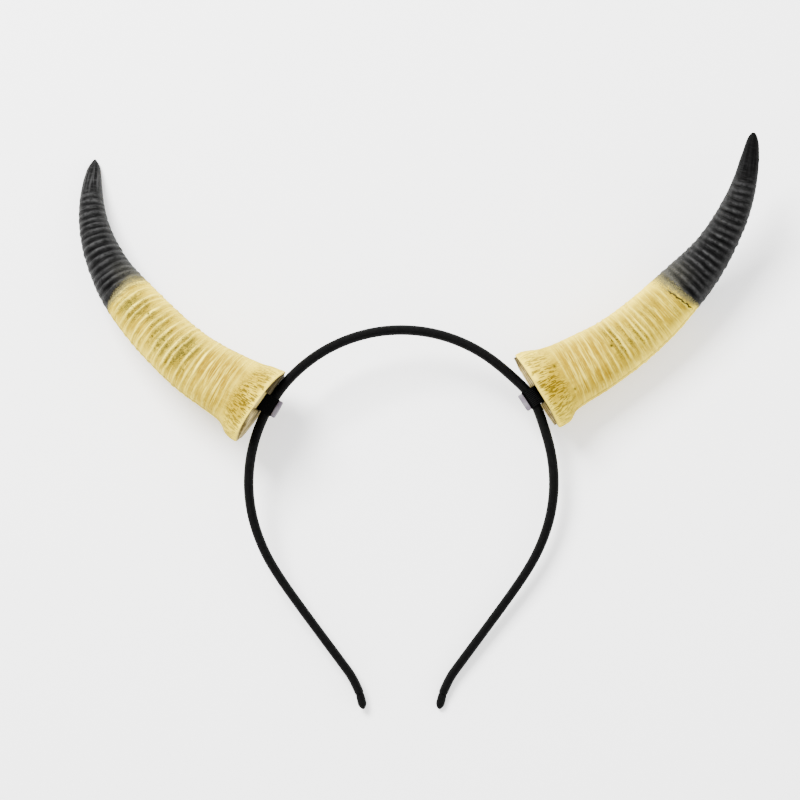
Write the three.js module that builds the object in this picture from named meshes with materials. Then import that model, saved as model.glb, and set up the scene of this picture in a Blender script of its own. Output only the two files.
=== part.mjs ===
// Goat horn headband: two ringed, curved foam horns held by elastic loops on a thin sprung hoop.
// Lengths are millimetres and angles are degrees. The hoop is first drawn flat, about its own centre,
// with X across the head, Y up to the crown and Z to the front. The whole headband is then turned to lie
// on its back on a level surface, as it does when it is put down, with Z up.
import * as THREE from "three";
import { ConvexHull } from "three/addons/math/ConvexHull.js";

const radians = THREE.MathUtils.degToRad;

// Hoop
const hoopRadius = 65.8; // from the hoop's centre to the middle of the band
const shoulderAngle = 20; // below the level line, where the round crown runs into the leg
const kneeReach = 22.4; // half the width between the legs where each turns down to its end
const kneeDrop = 82; // below the hoop's centre
const legLean = 36.5; // of the straight part of a leg, from upright
const endReach = 17.6; // half the width between the band's two ends, where the tips begin
const endDrop = 91.6; // below the hoop's centre
const bandHeight = 3.7; // thickness seen from the front
const bandDepth = 4.4; // thickness from front to back
const crownPull = 0.21; // of a leg's curve, towards the crown's own line where they meet
const kneePull = 0.67; // of a leg's curve, towards its straight part
const endPull = 0.3; // of the bend below the knee, towards the straight part
const crownStep = 5; // degrees between the points that set the crown's curve
const legSteps = 16; // points that set a leg's curve
const bandSides = 10;
const bandSteps = 92;
const pullSpread = 9; // angle at each side of a horn over which it draws the band out

// End tips
const tipLength = 6;
const tipGirth = 3.8;
const tipTurn = 9; // by which each tip is bent back towards upright
const tipSides = 12;

// The tip's outline from its blunt end to its mouth: place is a share of tipLength, and girth a share of
// tipGirth
const tipOutline = [
  { place: 1, girth: 0 },
  { place: 1, girth: 0.3 },
  { place: 0.84, girth: 0.72 },
  { place: 0.62, girth: 1 },
  { place: 0.2, girth: 1 },
  { place: 0, girth: 0.94 },
  { place: 0, girth: 0 },
];

// Horns
const hornLength = 151; // along the middle of the horn, from root to point
const rootRadius = 17.8; // just inside the flared lip of the root
const rootSlant = 8; // angle by which the root's face looks forward of square to the horn
const slantReach = 0.06; // share of the horn's length over which that slant fades
const hornFlatness = 0.96; // depth of a section as a share of its height
const ringRelief = 0.5; // height of a full ring above its groove
const ringCount = 31;
const ringSkew = 0.58; // where a ring's crest lies between its two grooves
const ringRise = 0.3; // share of a ring's height that stands above the horn's girth
const ringUnevenness = 0.2; // share of its height that a ring can lose
const ringBeat = 2.4; // sets which rings lose the most
const hornSides = 20;
const hornStrides = 6; // steps in which the horn's middle is followed from one section to the next

// The horn's sections: place and girth are shares of hornLength and rootRadius, turn is the heading in
// degrees from square to the root, and relief is the share of ringRelief that the rings have there.
const hornSections = [
  { place: 0.0, turn: 0, girth: 1.04, relief: 0 },
  { place: 0.012, turn: -1, girth: 1.03, relief: 0 },
  { place: 0.05, turn: -4, girth: 0.9, relief: 0 },
  { place: 0.1, turn: -5, girth: 0.84, relief: 0.3 },
  { place: 0.18, turn: -2, girth: 0.795, relief: 0.7 },
  { place: 0.3, turn: 7, girth: 0.735, relief: 0.9 },
  { place: 0.42, turn: 13, girth: 0.685, relief: 1 },
  { place: 0.52, turn: 18, girth: 0.615, relief: 1 },
  { place: 0.64, turn: 28.5, girth: 0.49, relief: 1.2 },
  { place: 0.76, turn: 40.5, girth: 0.385, relief: 1 },
  { place: 0.88, turn: 51, girth: 0.275, relief: 0.3 },
  { place: 0.95, turn: 54, girth: 0.18, relief: 0 },
  { place: 0.985, turn: 55, girth: 0.1, relief: 0 },
  { place: 1.0, turn: 55, girth: 0.04, relief: 0 },
];
const faceShares = [0.05, 0.3, 0.55, 0.8]; // of the lip's radius, across the root's face
const rootPlaces = [0, 0.012, 0.028, 0.05, 0.075];
const ringedFrom = 0.1;
const ringedTo = 0.87;
const pointPlaces = [0.9, 0.93, 0.955, 0.975, 0.99, 1];

// What holds each horn
const fit = 0.2; // between two pieces that touch
const padInset = 0.4; // how far the pad stays inside the root's lip
const padSides = 28;
const windowSquareness = 1.2; // size of the pad's rounded window over that of the rectangle it clears
const strapThickness = 0.5;
const strapWidth = 8.2; // along the band
const strapCorner = 1.4; // radius inside the loop's corners
const keeperThickness = 1.7;
const keeperLength = 7.6; // along the band
const keeperDepth = 5.4; // front to back
const keeperCorner = 0.9;
const cornerSteps = 5; // in each round corner of a loop or keeper

// The pad's section from its window out to its rim and back again: reach is the share of the way to the
// rim, and depth the share of the pad's thickness
const padLoop = [
  { reach: 0, depth: 1 },
  { reach: 0.33, depth: 1 },
  { reach: 0.66, depth: 1 },
  { reach: 0.88, depth: 1 },
  { reach: 0.97, depth: 0.75 },
  { reach: 1, depth: 0.35 },
  { reach: 0.98, depth: 0 },
  { reach: 0.66, depth: 0 },
  { reach: 0.33, depth: 0 },
  { reach: 0, depth: 0 },
];

// Each horn's seat: station is the angle above the level line at which its loop sits on the hoop, pull is
// how far it draws the sprung band outwards, pad is its foam pad's thickness, and shift is how far its root
// lies above the loop. Swing, lean and twist are the angles by which it points up the hoop, falls back and
// turns its bend backwards.
const seats = [
  {
    side: "right", mirror: 1, station: 33, pull: 1.4,
    pad: 2.2, shift: 1.6, swing: -1.6, lean: 3, twist: -26,
  },
  {
    side: "left", mirror: -1, station: 30.5, pull: 0,
    pad: 1.4, shift: -2.3, swing: 4.6, lean: 9.2, twist: 28,
  },
];
for (const seat of seats) seat.bearing = seat.mirror > 0 ? seat.station : 180 - seat.station;

// Worked out from the sizes above: the loop's depth, and the half depths over which the loop's end and the
// band's outer side are nearly flat
const loopDepth = bandDepth + 2 * fit + 2 * strapThickness;
const loopFlat = loopDepth / 2 - strapCorner - strapThickness;
const bandFlat = bandDepth / 4;

// Finishes, each with the density in kg per cubic metre that sets where the headband balances
const blackCloth = finish(0x161616, 0.85, 300);
const hornFoam = finish(0xe4d193, 0.6, 1100);
const padFoam = finish(0xc3b48f, 0.9, 300);
const blackElastic = finish(0x0c0c0e, 0.9, 300);
const greyFelt = finish(0xa9a6ab, 0.95, 300);

function finish(color, roughness, density) {
  const material = new THREE.MeshStandardMaterial({ color, roughness, metalness: 0 });
  material.userData.density = density;
  return material;
}

function piece(name, geometry, material) {
  const mesh = new THREE.Mesh(geometry, material);
  mesh.name = name;
  return mesh;
}

// Distance from the hoop's centre to the middle of the band, at an angle above the level line at the
// right, which grows beside each horn
function hoopReachAt(angle) {
  const pulls = seats.map(({ bearing, pull }) => pull * Math.exp(-(((angle - bearing) / pullSpread) ** 2)));
  return hoopRadius + Math.max(...pulls);
}

// One leg of the hoop on the right, from the end of the round crown to the end of the band
function legPoints(count) {
  const start = new THREE.Vector2(
    hoopRadius * Math.cos(radians(shoulderAngle)),
    -hoopRadius * Math.sin(radians(shoulderAngle)),
  );
  const knee = new THREE.Vector2(kneeReach, -kneeDrop);
  const end = new THREE.Vector2(endReach, -endDrop);
  const run = start.distanceTo(knee);
  const startWay = new THREE.Vector2(-Math.sin(radians(shoulderAngle)), -Math.cos(radians(shoulderAngle)));
  const kneeWay = new THREE.Vector2(-Math.sin(radians(legLean)), -Math.cos(radians(legLean)));
  const startHandle = startWay.multiplyScalar(crownPull * run).add(start);
  const kneeHandle = kneeWay.clone().multiplyScalar(-kneePull * run).add(knee);
  const endHandle = kneeWay.clone().multiplyScalar(endPull * knee.distanceTo(end)).add(knee);
  const leg = new THREE.CurvePath();
  leg.add(new THREE.CubicBezierCurve(start, startHandle, kneeHandle, knee));
  leg.add(new THREE.QuadraticBezierCurve(knee, endHandle, end));
  return leg.getSpacedPoints(count);
}

// The middle of the band from its left end over the crown to its right end
function hoopLine() {
  const right = legPoints(legSteps);
  const left = right.map((point) => new THREE.Vector2(-point.x, point.y)).reverse();
  const crown = [];
  for (let angle = 180 + shoulderAngle - crownStep; angle > -shoulderAngle; angle -= crownStep) {
    const reach = hoopReachAt(angle);
    crown.push(new THREE.Vector2(reach * Math.cos(radians(angle)), reach * Math.sin(radians(angle))));
  }
  const line = [...left, ...crown, ...right].map((point) => new THREE.Vector3(point.x, point.y, 0));
  return new THREE.CatmullRomCurve3(line, false, "centripetal");
}

function bandGeometry(line) {
  const section = new THREE.Shape();
  section.absellipse(0, 0, bandDepth / 2, bandHeight / 2, 0, 2 * Math.PI);
  return new THREE.ExtrudeGeometry(section, {
    steps: bandSteps,
    curveSegments: bandSides / 2,
    extrudePath: line,
  });
}

// A tip is a turned piece that points along -Y, with its mouth at the origin
function endTipGeometry() {
  const profile = tipOutline.map(
    ({ place, girth }) => new THREE.Vector2((girth * tipGirth) / 2, -place * tipLength),
  );
  return new THREE.LatheGeometry(profile, tipSides);
}

function endTip(name, line, mirror) {
  const end = line.getPoint(mirror > 0 ? 1 : 0);
  const way = line.getTangent(mirror > 0 ? 1 : 0).multiplyScalar(mirror);
  const mesh = piece(name, endTipGeometry(), blackCloth);
  mesh.position.copy(end).addScaledVector(way, fit + (bandHeight / 2) * Math.sin(radians(tipTurn)));
  way.applyAxisAngle(new THREE.Vector3(0, 0, 1), radians(mirror * tipTurn));
  mesh.quaternion.setFromUnitVectors(new THREE.Vector3(0, -1, 0), way);
  return mesh;
}

// Places along the horn at which a section is drawn, each with its share of a ring's height
function hornPlaces() {
  const ring = (ringedTo - ringedFrom) / ringCount;
  const ringed = [];
  for (let k = 0; k < ringCount; k++) {
    ringed.push({ place: ringedFrom + k * ring, height: 0 });
    const height = 1 - (ringUnevenness / 2) * (1 - Math.sin(ringBeat * k));
    ringed.push({ place: ringedFrom + (k + ringSkew) * ring, height });
  }
  return [
    ...rootPlaces.map((place) => ({ place, height: 0 })),
    ...ringed,
    { place: ringedTo, height: 0 },
    ...pointPlaces.map((place) => ({ place, height: 0 })),
  ];
}

// Closed skin over a run of rings of points, each ring a list of equal length. The run either has flat
// ends or comes round to its first ring again.
function skin(rings, endless = false) {
  const sides = rings[0].length;
  const corners = rings.flat();
  const faces = [];
  for (let row = 0; row + (endless ? 0 : 1) < rings.length; row++) {
    const [near, far] = [row * sides, ((row + 1) % rings.length) * sides];
    for (let side = 0; side < sides; side++) {
      const next = (side + 1) % sides;
      faces.push(near + side, near + next, far + side, near + next, far + next, far + side);
    }
  }
  for (const [row, outward] of endless ? [] : [[0, false], [rings.length - 1, true]]) {
    const middle = corners.push(new THREE.Vector3()) - 1;
    rings[row].forEach((corner) => corners[middle].addScaledVector(corner, 1 / sides));
    for (let side = 0; side < sides; side++) {
      const [a, b] = [row * sides + side, row * sides + ((side + 1) % sides)];
      faces.push(...(outward ? [a, b, middle] : [b, a, middle]));
    }
  }
  const geometry = new THREE.BufferGeometry().setFromPoints(corners);
  geometry.setIndex(faces);
  geometry.computeVertexNormals();
  return geometry;
}

// How far a seat's root and pad reach down towards the band, at this place along the seat's own Z
function slantAt(seat, depth) {
  return seat.mirror * Math.tan(radians(rootSlant)) * depth;
}

// The horn grows along X from its root at the origin and bends towards Y
function hornGeometry(seat) {
  const seatDepth = new THREE.Vector3(0, 0, 1).applyAxisAngle(new THREE.Vector3(1, 0, 0), hornTwist(seat));
  const columns = hornSections.flatMap((row) => [row.turn, row.girth, row.relief]);
  const table = new THREE.CubicInterpolant(hornSections.map((row) => row.place), columns, 3);
  const middle = new THREE.Vector3();
  let reached = 0;
  const face = faceShares.map((share) => ({ place: 0, height: 0, share }));
  const rings = [...face, ...hornPlaces()].map(({ place, height, share = 1 }) => {
    const stride = (place - reached) / hornStrides;
    for (let k = 0; k < hornStrides; k++) {
      const [heading] = table.evaluate(reached + (k + 0.5) * stride);
      middle.x += Math.cos(radians(heading)) * stride * hornLength;
      middle.y += Math.sin(radians(heading)) * stride * hornLength;
    }
    reached = place;
    const [turn, girth, relief] = table.evaluate(place);
    const radius = share * girth * rootRadius + (height - 1 + ringRise) * relief * ringRelief;
    const across = new THREE.Vector3(-Math.sin(radians(turn)), Math.cos(radians(turn)), 0);
    return Array.from({ length: hornSides }, (_, side) => {
      const around = (2 * Math.PI * side) / hornSides;
      const corner = middle.clone().addScaledVector(across, radius * Math.cos(around));
      corner.z += radius * hornFlatness * Math.sin(around);
      corner.x -= slantAt(seat, corner.dot(seatDepth)) * Math.max(0, 1 - place / slantReach) ** 2;
      return corner;
    });
  });
  return skin(rings);
}

function roundedRectangle(low, high, radius) {
  const shape = new THREE.Shape();
  shape.absarc(high.x - radius, high.y - radius, radius, 0, 0.5 * Math.PI);
  shape.absarc(low.x + radius, high.y - radius, radius, 0.5 * Math.PI, Math.PI);
  shape.absarc(low.x + radius, low.y + radius, radius, Math.PI, 1.5 * Math.PI);
  shape.absarc(high.x - radius, low.y + radius, radius, 1.5 * Math.PI, 2 * Math.PI);
  shape.closePath();
  return shape;
}

// How far the band falls back towards the hoop's centre over half a loop's width
function bandBow(seat) {
  const half = Math.atan(strapWidth / 2 / hoopReachAt(seat.bearing));
  const reach = hoopReachAt(seat.bearing + THREE.MathUtils.radToDeg(half));
  return hoopReachAt(seat.bearing) - reach * Math.cos(half);
}

// Places across the band, counted outwards from its middle: the loop's head side, the loop's end in the
// horn, and the pad's two faces. The pad is tilted with the horn, so it keeps more room than the fit.
function seatPlaces(seat) {
  const swing = Math.tan(radians(seat.swing));
  const lean = Math.tan(radians(Math.abs(seat.lean - rootSlant)));
  const head = -(bandHeight / 2 + fit + bandBow(seat) + strapThickness);
  const padRoom = (hoopRadius * swing * swing) / 2 + Math.abs(seat.shift * swing) + bandFlat * lean;
  const padBack = bandHeight / 2 + fit + padRoom;
  const root = padBack + seat.pad + fit;
  const loopRoom = (strapWidth / 2 + Math.abs(seat.shift)) * Math.abs(swing) + loopFlat * lean;
  return { head, padBack, root, end: root - fit - loopRoom };
}

function strapGeometry(seat) {
  const { head, end } = seatPlaces(seat);
  const outside = roundedRectangle(
    new THREE.Vector2(head, -loopDepth / 2),
    new THREE.Vector2(end, loopDepth / 2),
    strapCorner + strapThickness,
  );
  const inside = roundedRectangle(
    new THREE.Vector2(head + strapThickness, strapThickness - loopDepth / 2),
    new THREE.Vector2(end - strapThickness, loopDepth / 2 - strapThickness),
    strapCorner,
  );
  outside.holes.push(inside);
  const geometry = new THREE.ExtrudeGeometry(outside, {
    depth: strapWidth,
    bevelEnabled: false,
    curveSegments: cornerSteps,
  });
  return geometry.translate(0, 0, -strapWidth / 2).rotateX(Math.PI / 2);
}

// The angle by which a horn is turned about its own root, from the pad it stands on
function hornTwist(seat) {
  return radians(seat.mirror * seat.twist);
}

// A foam disc that lies back from X = 0, bent like the root, with a window for the loop's way to the horn
function padGeometry(seat) {
  const rim = rootRadius * hornSections[0].girth - padInset;
  const room = fit + seat.pad * Math.tan(radians(Math.max(Math.abs(seat.swing), rootSlant)));
  const halfWidth = (strapWidth / 2 + room) * windowSquareness;
  const halfDepth = (loopDepth / 2 + room) * windowSquareness;
  const rings = padLoop.map(({ reach, depth }) =>
    Array.from({ length: padSides }, (_, side) => {
      const around = (2 * Math.PI * side) / padSides;
      const [y, z] = [Math.cos(around), Math.sin(around)];
      const window = ((y / halfWidth) ** 4 + (z / halfDepth) ** 4) ** -0.25;
      const inner = new THREE.Vector2(window * y - seat.shift, window * z);
      const [across, deep] = inner.lerp(new THREE.Vector2(rim * y, rim * hornFlatness * z), reach).toArray();
      return new THREE.Vector3(-seat.pad * depth - slantAt(seat, deep), across, deep);
    }),
  );
  return skin(rings, true);
}

function keeperGeometry() {
  const half = new THREE.Vector2(keeperLength / 2, keeperDepth / 2);
  const face = roundedRectangle(half.clone().negate(), half, keeperCorner);
  const geometry = new THREE.ExtrudeGeometry(face, {
    depth: keeperThickness,
    bevelEnabled: false,
    curveSegments: cornerSteps,
  });
  return geometry.rotateZ(Math.PI / 2).rotateY(-Math.PI / 2);
}

// A horn and what holds it, in a frame whose X points outwards from the hoop and Y towards the crown
function seatedHorn(seat) {
  const group = new THREE.Group();
  const bearing = radians(seat.bearing);
  group.position.set(Math.cos(bearing), Math.sin(bearing), 0).multiplyScalar(hoopReachAt(seat.bearing));
  group.rotation.set(seat.mirror > 0 ? 0 : Math.PI, 0, bearing, "ZYX");

  const places = seatPlaces(seat);
  const strap = piece("strap_loop_" + seat.side, strapGeometry(seat), blackElastic);
  const keeper = piece("keeper_" + seat.side, keeperGeometry(), greyFelt);
  keeper.position.x = places.head - fit;

  const tilted = new THREE.Group();
  tilted.position.set(places.root, seat.shift, 0);
  tilted.rotation.set(
    -hornTwist(seat),
    radians(seat.mirror * seat.lean),
    radians(seat.swing),
    "ZYX",
  );
  const pad = piece("base_pad_" + seat.side, padGeometry(seat), padFoam);
  pad.position.x = -fit;
  pad.rotation.x = hornTwist(seat);
  tilted.add(pad, piece("horn_" + seat.side, hornGeometry(seat), hornFoam));
  group.add(strap, keeper, tilted);
  return group;
}

// The model's corners, each of them once, and the point at which it balances
function cornersAndBalance(model) {
  const corners = new Map();
  const balance = new THREE.Vector3();
  let weight = 0;
  model.updateMatrixWorld(true);
  model.traverse((mesh) => {
    if (!mesh.isMesh) return;
    const places = mesh.geometry.getAttribute("position");
    const index = mesh.geometry.index;
    const at = (k) => {
      const corner = new THREE.Vector3().fromBufferAttribute(places, index ? index.getX(k) : k);
      return corner.applyMatrix4(mesh.matrixWorld);
    };
    for (let k = 0; k < (index ? index.count : places.count); k += 3) {
      const [a, b, c] = [at(k), at(k + 1), at(k + 2)];
      const share = (a.dot(b.clone().cross(c)) / 6) * mesh.material.userData.density;
      balance.addScaledVector(a.clone().add(b).add(c), share / 4);
      weight += share;
      for (const corner of [a, b, c]) corners.set(corner.toArray().map((x) => x.toFixed(3)).join(), corner);
    }
  });
  return { corners: [...corners.values()], balance: balance.divideScalar(weight) };
}

// The turn that lays the model on the flat side under its balance point which faces most nearly back
function restingTurn({ corners, balance }) {
  const back = new THREE.Vector3(0, 0, -1);
  const sides = new ConvexHull().setFromPoints(corners).faces.filter((face) => {
    const foot = balance.clone().addScaledVector(face.normal, -face.distanceToPoint(balance));
    return [0, 1, 2].every((k) => {
      const edge = face.getEdge(k);
      const along = edge.head().point.clone().sub(edge.tail().point);
      const inward = face.normal.clone().cross(along);
      return foot.clone().sub(edge.tail().point).dot(inward) > 0;
    });
  });
  sides.sort((one, other) => other.normal.dot(back) - one.normal.dot(back));
  return new THREE.Quaternion().setFromUnitVectors(sides[0].normal, back);
}

const line = hoopLine();
const headband = new THREE.Group();
headband.add(
  piece("band", bandGeometry(line), blackCloth),
  endTip("end_tip_right", line, 1),
  endTip("end_tip_left", line, -1),
  ...seats.map(seatedHorn),
);
headband.quaternion.copy(restingTurn(cornersAndBalance(headband)));

// The origin is the middle of the underside of the box round the headband
const room = new THREE.Box3().setFromObject(headband, true);
headband.position.set(-(room.min.x + room.max.x) / 2, -(room.min.y + room.max.y) / 2, -room.min.z);

const part = new THREE.Group();
part.add(headband);
export default part;
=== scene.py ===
"""Dresses the goat horn headband: painted foam horns, a cloth-wrapped hoop, foam pads and elastic loops.

The headband lies on its back on a pale floor and is seen from above, square to its hoop. Each piece is
modelled in a frame of its own, in metres, and its mesh is then carried to its place in the row frame.
"""
import logging
import math
import random
from dataclasses import dataclass, field
from enum import Enum
from typing import Callable, Sequence

import bpy
import numpy as np
from mathutils import Matrix, Vector, noise


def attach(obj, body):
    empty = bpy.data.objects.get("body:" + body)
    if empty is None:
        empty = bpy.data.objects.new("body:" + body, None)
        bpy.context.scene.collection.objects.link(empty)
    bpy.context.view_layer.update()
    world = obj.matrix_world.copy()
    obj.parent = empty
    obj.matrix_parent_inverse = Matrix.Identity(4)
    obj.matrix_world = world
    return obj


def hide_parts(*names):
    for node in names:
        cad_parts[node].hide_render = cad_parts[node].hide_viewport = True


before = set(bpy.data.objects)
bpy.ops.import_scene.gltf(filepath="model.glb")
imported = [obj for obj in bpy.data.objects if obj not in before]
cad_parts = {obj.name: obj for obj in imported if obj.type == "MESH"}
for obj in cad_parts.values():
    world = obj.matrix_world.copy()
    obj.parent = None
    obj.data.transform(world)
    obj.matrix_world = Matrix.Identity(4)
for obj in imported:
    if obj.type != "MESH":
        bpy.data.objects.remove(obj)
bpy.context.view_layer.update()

MM = 0.001
WELD = 0.01 * MM  # vertices nearer than this are merged
BLOCK = 4096  # number of vertices located at a time
DETAIL = 3.0  # how much finer noise most noises carry
SHEEN_ROUGHNESS = 0.4
Colour = tuple[float, float, float]
Span = tuple[float, float]

log = logging.getLogger("headband")


class Side(Enum):
    """Which side of the hoop a piece is on, seen from the front, with the sign of its X."""

    RIGHT = 1
    LEFT = -1

    @property
    def word(self) -> str:
        """The side's name as it stands in the names of pieces."""
        return self.name.lower()


# Modelling


def turn(degrees: float, axis: str) -> Matrix:
    """A turn about one axis of the frame."""
    return Matrix.Rotation(math.radians(degrees), 4, axis)


def deselect() -> None:
    """Leaves nothing selected, so that the next operator acts on its own piece alone."""
    if bpy.context.object and bpy.context.object.mode != "OBJECT":
        bpy.ops.object.mode_set(mode="OBJECT")
    bpy.ops.object.select_all(action="DESELECT")


def pick(obj: bpy.types.Object, kind: str, chosen: Callable[[object], bool]) -> None:
    """Selects some of a piece's faces or edges, and goes on in edit mode.

    Args:
        obj: The piece, which is the active object.
        kind: FACE or EDGE.
        chosen: Says of a face or an edge whether it is selected.
    """
    bpy.ops.object.mode_set(mode="EDIT")
    bpy.ops.mesh.select_mode(type=kind)
    bpy.ops.mesh.select_all(action="DESELECT")
    bpy.ops.object.mode_set(mode="OBJECT")
    for part in obj.data.polygons if kind == "FACE" else obj.data.edges:
        part.select = chosen(part)
    bpy.ops.object.mode_set(mode="EDIT")


def settle(obj: bpy.types.Object) -> None:
    """Puts a new primitive's place and size into its mesh."""
    bpy.ops.object.transform_apply(location=True, rotation=True, scale=True)
    obj.data.materials.clear()


def modify(obj: bpy.types.Object, kind: str, **settings: object) -> None:
    """Adds one modifier to a piece and applies it.

    Args:
        obj: The piece, which is the active object.
        kind: The modifier's type.
        settings: The modifier's own values by name.
    """
    bpy.context.view_layer.objects.active = obj
    modifier = obj.modifiers.new(kind.title(), kind)
    for name, value in settings.items():
        setattr(modifier, name, value)
    bpy.ops.object.modifier_apply(modifier=modifier.name)


def close_up(obj: bpy.types.Object) -> None:
    """Merges a piece's doubles and turns its faces outwards.

    Args:
        obj: The piece.
    """
    bpy.context.view_layer.objects.active = obj
    bpy.ops.object.mode_set(mode="EDIT")
    bpy.ops.mesh.select_all(action="SELECT")
    bpy.ops.mesh.remove_doubles(threshold=WELD)
    bpy.ops.mesh.normals_make_consistent(inside=False)
    bpy.ops.object.mode_set(mode="OBJECT")


def read_rows(obj: bpy.types.Object, what: str) -> np.ndarray:
    """Reads three numbers from each of a piece's vertices.

    Args:
        obj: The piece.
        what: The numbers' name: co for a place or normal for a normal.

    Returns:
        An array with a row for each vertex.
    """
    found = np.empty(len(obj.data.vertices) * 3)
    obj.data.vertices.foreach_get(what, found)
    return found.reshape(-1, 3)


def corners(obj: bpy.types.Object) -> np.ndarray:
    """The places of a piece's vertices, a row for each."""
    return read_rows(obj, "co")


def outward(obj: bpy.types.Object) -> np.ndarray:
    """The normals of a piece's vertices, a row for each."""
    return read_rows(obj, "normal")


def reshape(obj: bpy.types.Object, places: np.ndarray) -> None:
    """Moves a piece's vertices to new places."""
    obj.data.vertices.foreach_set("co", places.reshape(-1))
    obj.data.update()


def mark(obj: bpy.types.Object, name: str, values: np.ndarray) -> None:
    """Writes one number for each vertex, which a material reads by name."""
    layer = obj.data.attributes.new(name, "FLOAT", "POINT")
    layer.data.foreach_set("value", values.astype(np.float32))


def place(obj: bpy.types.Object, name: str, at: Matrix, smooth_below: float = 180.0) -> bpy.types.Object:
    """Carries a modelled piece to its place in the row frame.

    Args:
        obj: The piece, modelled about the origin.
        name: Its name.
        at: The frame it was modelled in.
        smooth_below: Faces that meet at less than this angle are shaded as one.

    Returns:
        The piece, riding on the headband's one body.
    """
    deselect()
    obj.name = obj.data.name = name
    obj.data.transform(at)
    obj.select_set(True)
    bpy.context.view_layer.objects.active = obj
    bpy.ops.object.shade_smooth_by_angle(angle=math.radians(smooth_below))
    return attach(obj, "root") or obj


def cloud(points: np.ndarray, size: float, seed: int) -> np.ndarray:
    """Smooth noise between about -1 and 1.

    Args:
        points: A row for each place.
        size: Width of the noise's lumps, in the points' own unit.
        seed: Tells one noise from another.

    Returns:
        One number for each place.
    """
    shift = Vector((17.3, 5.1, 9.7)) * (seed + 1)
    return np.array([noise.noise(Vector(point) + shift) for point in (points / size).tolist()])


def ease(low: float, high: float, values: np.ndarray) -> np.ndarray:
    """Goes smoothly from 0 at the low value to 1 at the high one."""
    share = np.clip((values - low) / (high - low), 0.0, 1.0)
    return share * share * (3.0 - 2.0 * share)


def hump(values: np.ndarray, middle: float | np.ndarray, width: float | np.ndarray) -> np.ndarray:
    """A rounded hump of height 1 about a middle value."""
    return np.exp(-(((values - middle) / width) ** 2))


def within(values: np.ndarray, rise: Span, fall: Span) -> np.ndarray:
    """Goes smoothly from 0 to 1 over one span of the values, and back to 0 over a later one."""
    return ease(*rise, values) * (1 - ease(*fall, values))


def bezier(points: Sequence[np.ndarray], count: int) -> np.ndarray:
    """Draws a smooth curve from the first of some points to the last.

    Args:
        points: The points that lead the curve.
        count: Number of points on it.

    Returns:
        A row for each point on the curve.
    """
    share = np.linspace(0.0, 1.0, count)[:, None]
    last = len(points) - 1
    return sum(
        math.comb(last, k) * (1 - share) ** (last - k) * share**k * point for k, point in enumerate(points)
    )


def spaced(rough: np.ndarray, count: int, closed: bool = False) -> np.ndarray:
    """Spaces points evenly along a line.

    Args:
        rough: The line's own points.
        count: Number of points wanted.
        closed: Whether the line ends where it starts, so that its end is left out.

    Returns:
        A row for each point.
    """
    reached = np.r_[0.0, np.cumsum(np.linalg.norm(np.diff(rough, axis=0), axis=1))]
    even = np.linspace(0.0, reached[-1], count, endpoint=not closed)
    return np.c_[np.interp(even, reached, rough[:, 0]), np.interp(even, reached, rough[:, 1])]


@dataclass(frozen=True)
class Section:
    """A round section of a drawn-out piece: its centre, its heading in degrees and its radius."""

    x: float
    y: float
    heading: float
    radius: float


def draw_out(sections: Sequence[Section], sides: int) -> bpy.types.Object:
    """Extrudes a disc from section to section into one closed, rounded piece.

    Args:
        sections: The sections in order, in the plane of X and Y.
        sides: Number of sides of each section.

    Returns:
        The piece, about the origin.
    """
    first = sections[0]
    deselect()
    bpy.ops.mesh.primitive_circle_add(
        vertices=sides,
        radius=first.radius,
        fill_type="NGON",
        location=(first.x, first.y, 0.0),
        rotation=(0.0, math.pi / 2, math.radians(first.heading)),
    )
    obj = bpy.context.object
    settle(obj)
    bpy.ops.object.mode_set(mode="EDIT")
    bpy.ops.mesh.select_all(action="SELECT")
    for before, after in zip(sections, sections[1:]):
        step = (after.x - before.x, after.y - before.y, 0.0)
        centre = (after.x, after.y, 0.0)
        bpy.ops.mesh.extrude_region_move(TRANSFORM_OT_translate={"value": step})
        if after.heading != before.heading:
            angle = math.radians(before.heading - after.heading)
            bpy.ops.transform.rotate(value=angle, orient_axis="Z", center_override=centre)
        if after.radius != before.radius:
            grown = after.radius / before.radius
            bpy.ops.transform.resize(value=(grown, grown, grown), center_override=centre)
    bpy.ops.object.mode_set(mode="OBJECT")
    close_up(obj)
    return obj


class Track:
    """The middle line of a drawn-out piece, by which its vertices are found again."""

    def __init__(self, points: np.ndarray, headings: np.ndarray) -> None:
        """Keeps the line.

        Args:
            points: X and Y of closely spaced points on the line.
            headings: The line's heading at each of them, in radians.
        """
        self.points = points
        self.ways = np.c_[np.cos(headings), np.sin(headings)]
        steps = np.linalg.norm(np.diff(points, axis=0), axis=1)
        self.reached = np.r_[0.0, np.cumsum(steps)]

    def locate(self, places: np.ndarray, front: Vector) -> tuple[np.ndarray, np.ndarray]:
        """Finds where on the piece each vertex is.

        Args:
            places: The vertices, a row for each.
            front: The direction from which the piece is seen, in its own frame.

        Returns:
            The distance of each vertex along the line, and its angle round the line in radians: 0 faces
            the front, and a right angle is the side to which the line bends.
        """
        nearest = np.empty(len(places), int)
        for start in range(0, len(places), BLOCK):
            part = places[start:start + BLOCK, None, :2] - self.points[None]
            nearest[start:start + BLOCK] = np.argmin((part**2).sum(2), axis=1)
        ways = self.ways[nearest]
        offset = places[:, :2] - self.points[nearest]
        ahead = (offset * ways).sum(1)
        sideways = (offset * np.c_[-ways[:, 1], ways[:, 0]]).sum(1)
        front_side = -front.x * ways[:, 1] + front.y * ways[:, 0]
        scale = np.hypot(front_side, front.z)
        facing = (sideways * front_side + places[:, 2] * front.z) / scale
        inward = (sideways * front.z - places[:, 2] * front_side) * np.sign(front.z) / scale
        return self.reached[nearest] + ahead, np.arctan2(inward, facing)


# Materials


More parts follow.
